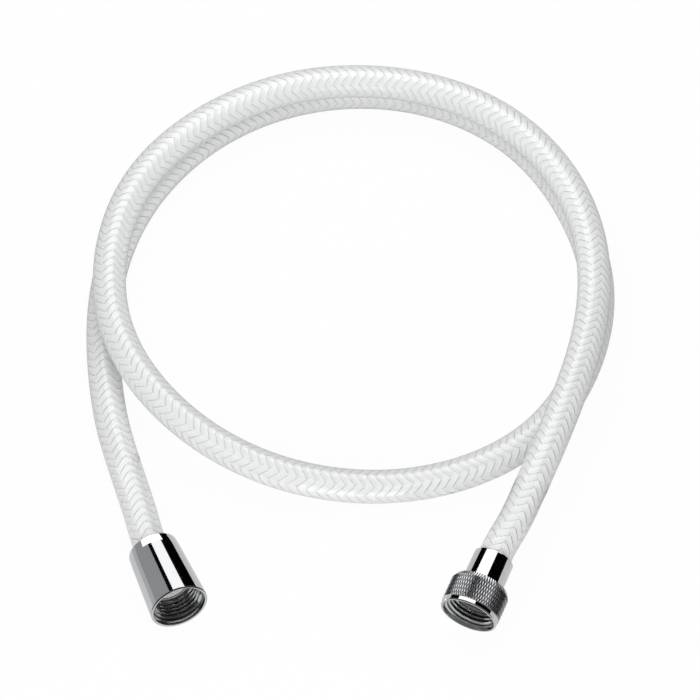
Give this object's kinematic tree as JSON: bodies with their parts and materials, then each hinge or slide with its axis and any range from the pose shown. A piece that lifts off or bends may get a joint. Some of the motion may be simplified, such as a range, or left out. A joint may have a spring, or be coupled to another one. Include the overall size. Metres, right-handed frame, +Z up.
{
  "type": "shower hose",
  "caption": "Braided plastic shower hose lying in an open coil, with a conical swivel nut at one end and a knurled swivel nut at the other",
  "frame": {"origin": "centre of the bounding box, at the height of the surface that the hose lies on", "axes": "+Z up from that surface, +X to the right and +Y away from the two nuts, as seen from the nuts' side"},
  "size_m": [0.2231, 0.2834, 0.0285],
  "materials": {
    "hose_wall": "clear glossy PVC over a white yarn braid",
    "chrome": "polished chrome on brass",
    "brass": "turned",
    "pale_seal": "matt pale grey",
    "dark_seal": "matt black"
  },
  "bodies": {
    "hose_and_fittings": {"hose": "hose_wall", "cone_end_nipple": "brass", "cone_end_sleeve": "brass", "cone_nut_washer": "pale_seal", "knurled_end_nipple": "brass", "knurled_end_ferrule": "chrome", "knurled_nut_washer": "dark_seal"},
    "cone_nut": {"cone_nut": "chrome"},
    "knurled_nut": {"knurled_nut": "chrome"}
  },
  "joints": [
    {"name": "cone_nut_swivel", "type": "hinge", "parent": "hose_and_fittings", "child": "cone_nut", "pos_m": [-0.06954, -0.1334, 0.01318], "axis": [0.3641, -0.9273, 0.0872], "continuous": true},
    {"name": "knurled_nut_swivel", "type": "hinge", "parent": "hose_and_fittings", "child": "knurled_nut", "pos_m": [0.04758, -0.137, 0.01212], "axis": [-0.3889, -0.9152, -0.1054], "continuous": true}
  ]
}
